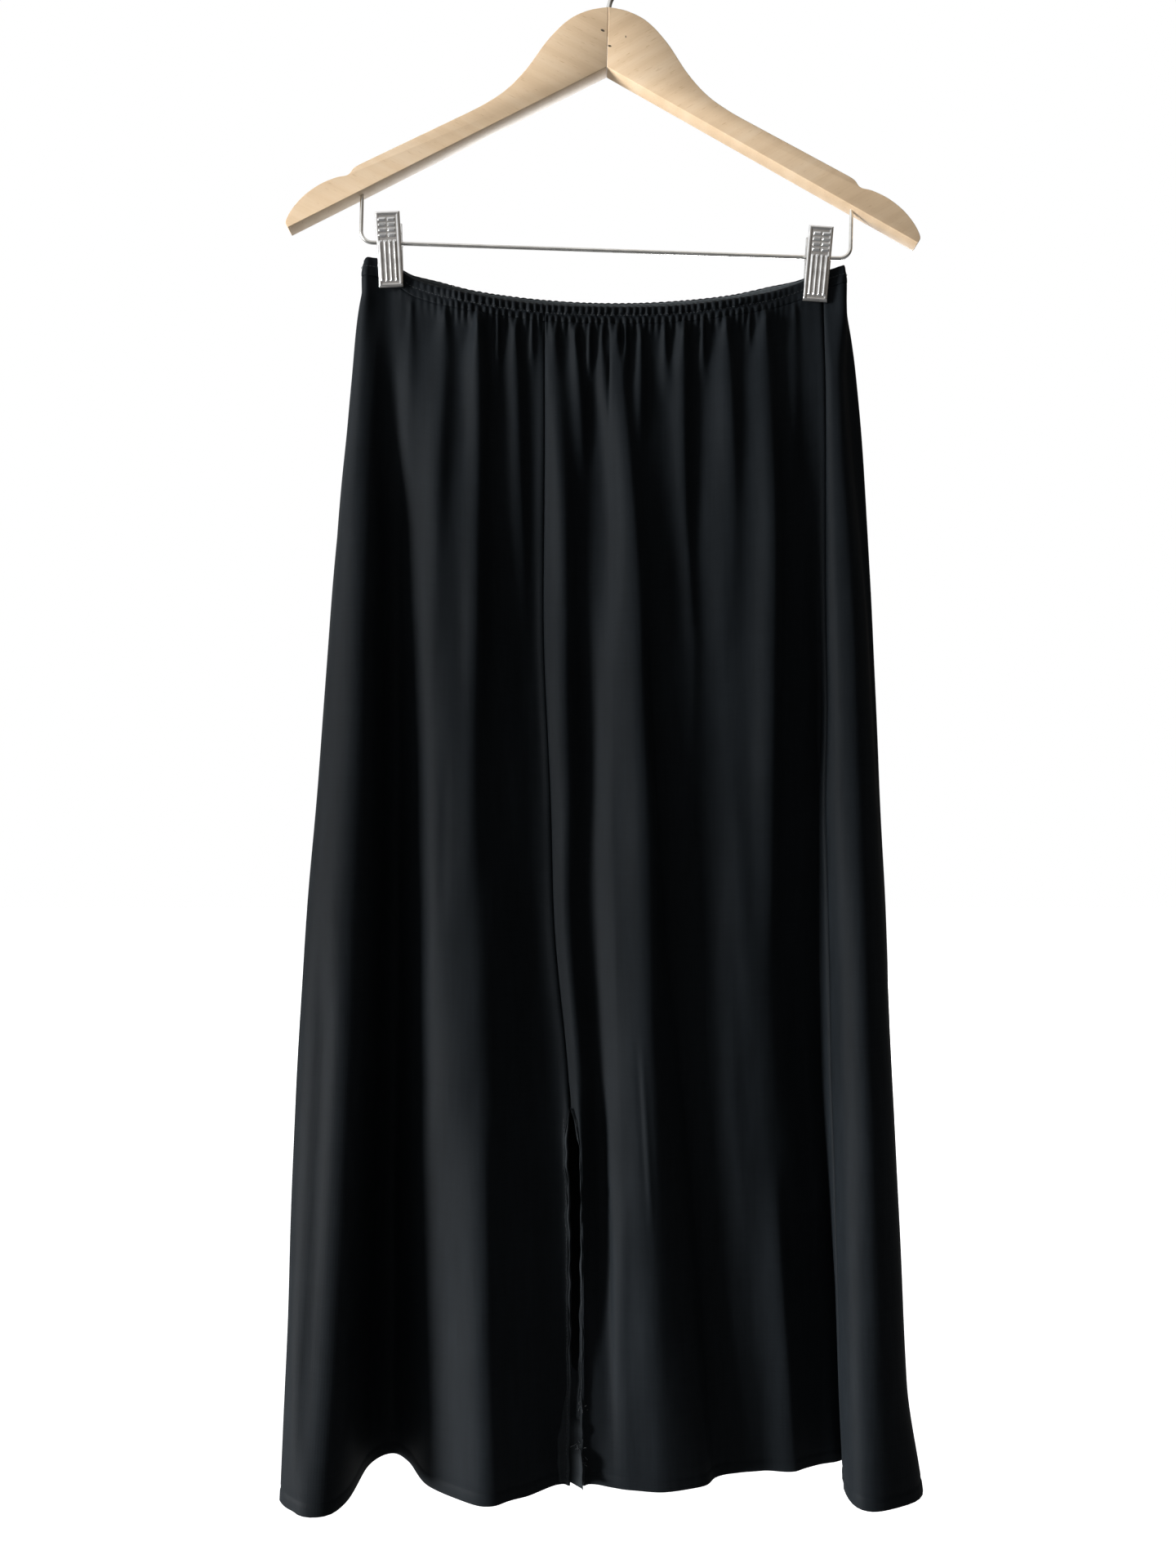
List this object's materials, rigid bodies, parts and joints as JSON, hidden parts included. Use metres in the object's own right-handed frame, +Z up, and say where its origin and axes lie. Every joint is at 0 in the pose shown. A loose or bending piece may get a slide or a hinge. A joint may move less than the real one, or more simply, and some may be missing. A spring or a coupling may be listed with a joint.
{
  "type": "slip skirt on a wooden clip hanger",
  "caption": "Long A-line slip skirt with a gathered elastic waist, a centre-front seam and a hem slit, hung by two clips from a wooden hanger.",
  "frame": {"origin": "inside top of the hook's crook, where the hanger rests on a rail", "axes": "+Z up, -Y towards the skirt's front, +X to the right of someone who faces the front"},
  "size_m": [0.4418, 0.119, 1.0795],
  "materials": {
    "cloth": "black woven satin-back crepe, soft sheen",
    "elastic": "dark grey woven elastic, matt",
    "wood": "clear satin lacquer on pale wood",
    "wire": "bright plated steel wire",
    "clip_steel": "bright plated pressed steel"
  },
  "bodies": {
    "root": {"panel_front_left": "cloth", "panel_front_right": "cloth", "panel_back": "cloth", "casing_front_left": "cloth", "casing_front_right": "cloth", "casing_back": "cloth", "slit_hem_left": "cloth", "slit_hem_right": "cloth", "waist_elastic": "elastic", "hanger_arm_left": "wood", "hanger_arm_right": "wood", "hanger_hook": "wire", "hanger_bar": "wire", "clip_left_front_leaf": "clip_steel", "clip_left_back_leaf": "clip_steel", "clip_left_spring": "clip_steel", "clip_right_front_leaf": "clip_steel", "clip_right_back_leaf": "clip_steel", "clip_right_spring": "clip_steel"}
  },
  "joints": []
}
